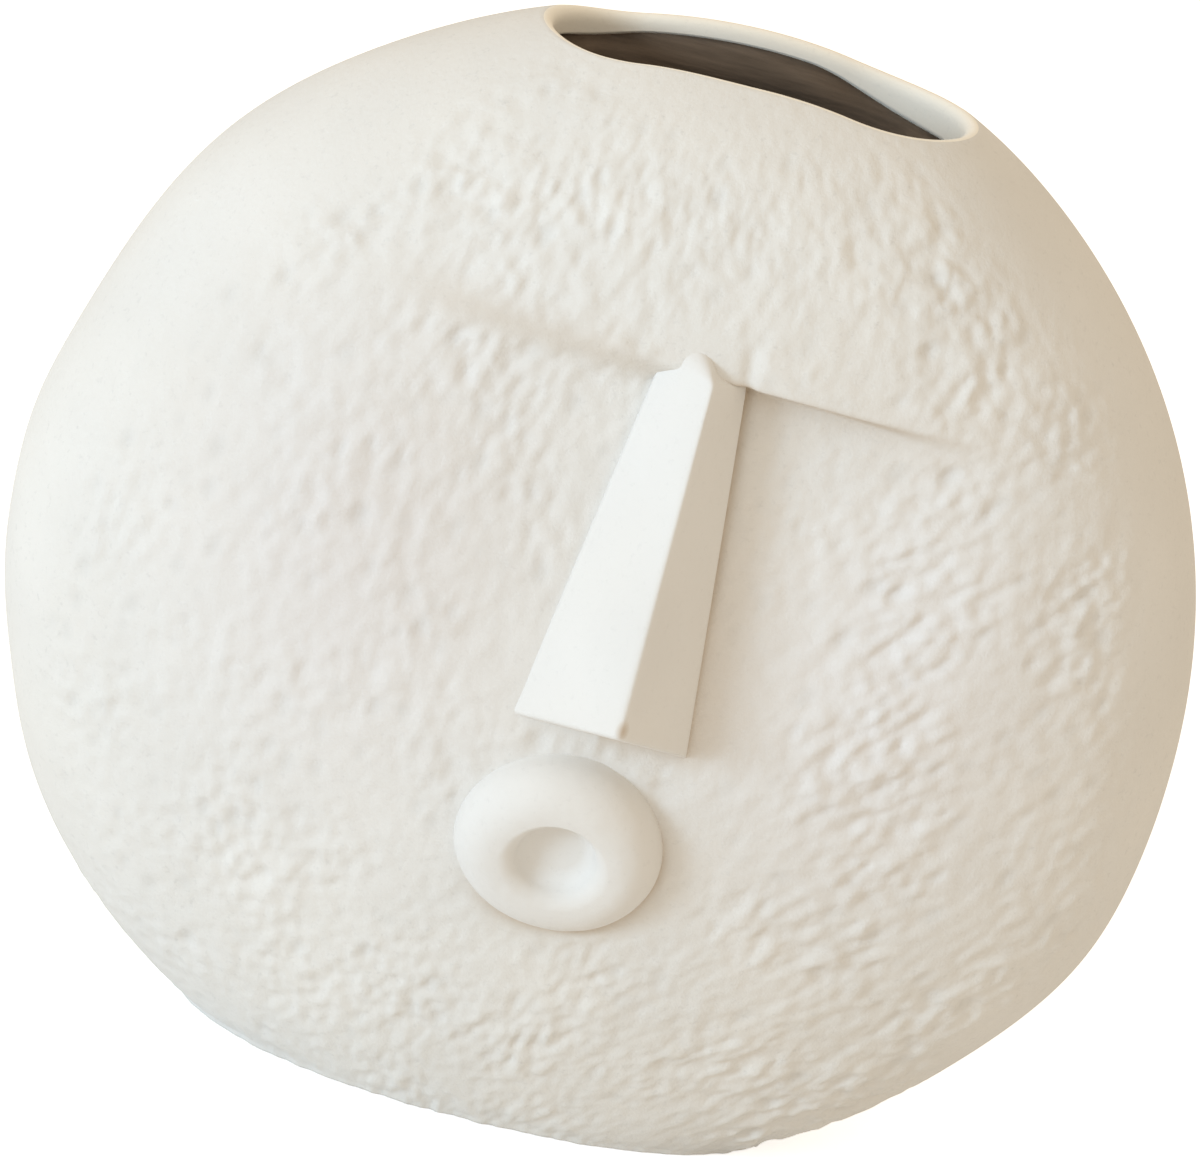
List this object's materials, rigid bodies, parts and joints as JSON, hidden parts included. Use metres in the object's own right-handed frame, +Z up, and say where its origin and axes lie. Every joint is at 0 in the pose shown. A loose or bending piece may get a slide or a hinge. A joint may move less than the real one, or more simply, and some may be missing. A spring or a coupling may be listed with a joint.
{
  "type": "face vase",
  "caption": "Flattened, rounded ceramic vase with a long stem slot in its crown, a pressed brow line, a ridged nose and a ring-shaped mouth, standing on a flat foot.",
  "frame": {"origin": "middle of the flat foot, on the surface that the vase stands on", "axes": "+Z up, the face looks along -Y, +X to the right when one looks at the face"},
  "size_m": [0.18, 0.0991, 0.1674],
  "materials": {
    "rough_bisque": "unglazed, pitted bisque",
    "smooth_clay": "unglazed, smoothed bisque"
  },
  "bodies": {
    "root": {"front_shell": "rough_bisque", "back_shell": "rough_bisque", "base_slab": "smooth_clay", "rim_collar": "smooth_clay", "nose_ridge": "smooth_clay", "mouth_ring": "smooth_clay"}
  },
  "joints": []
}
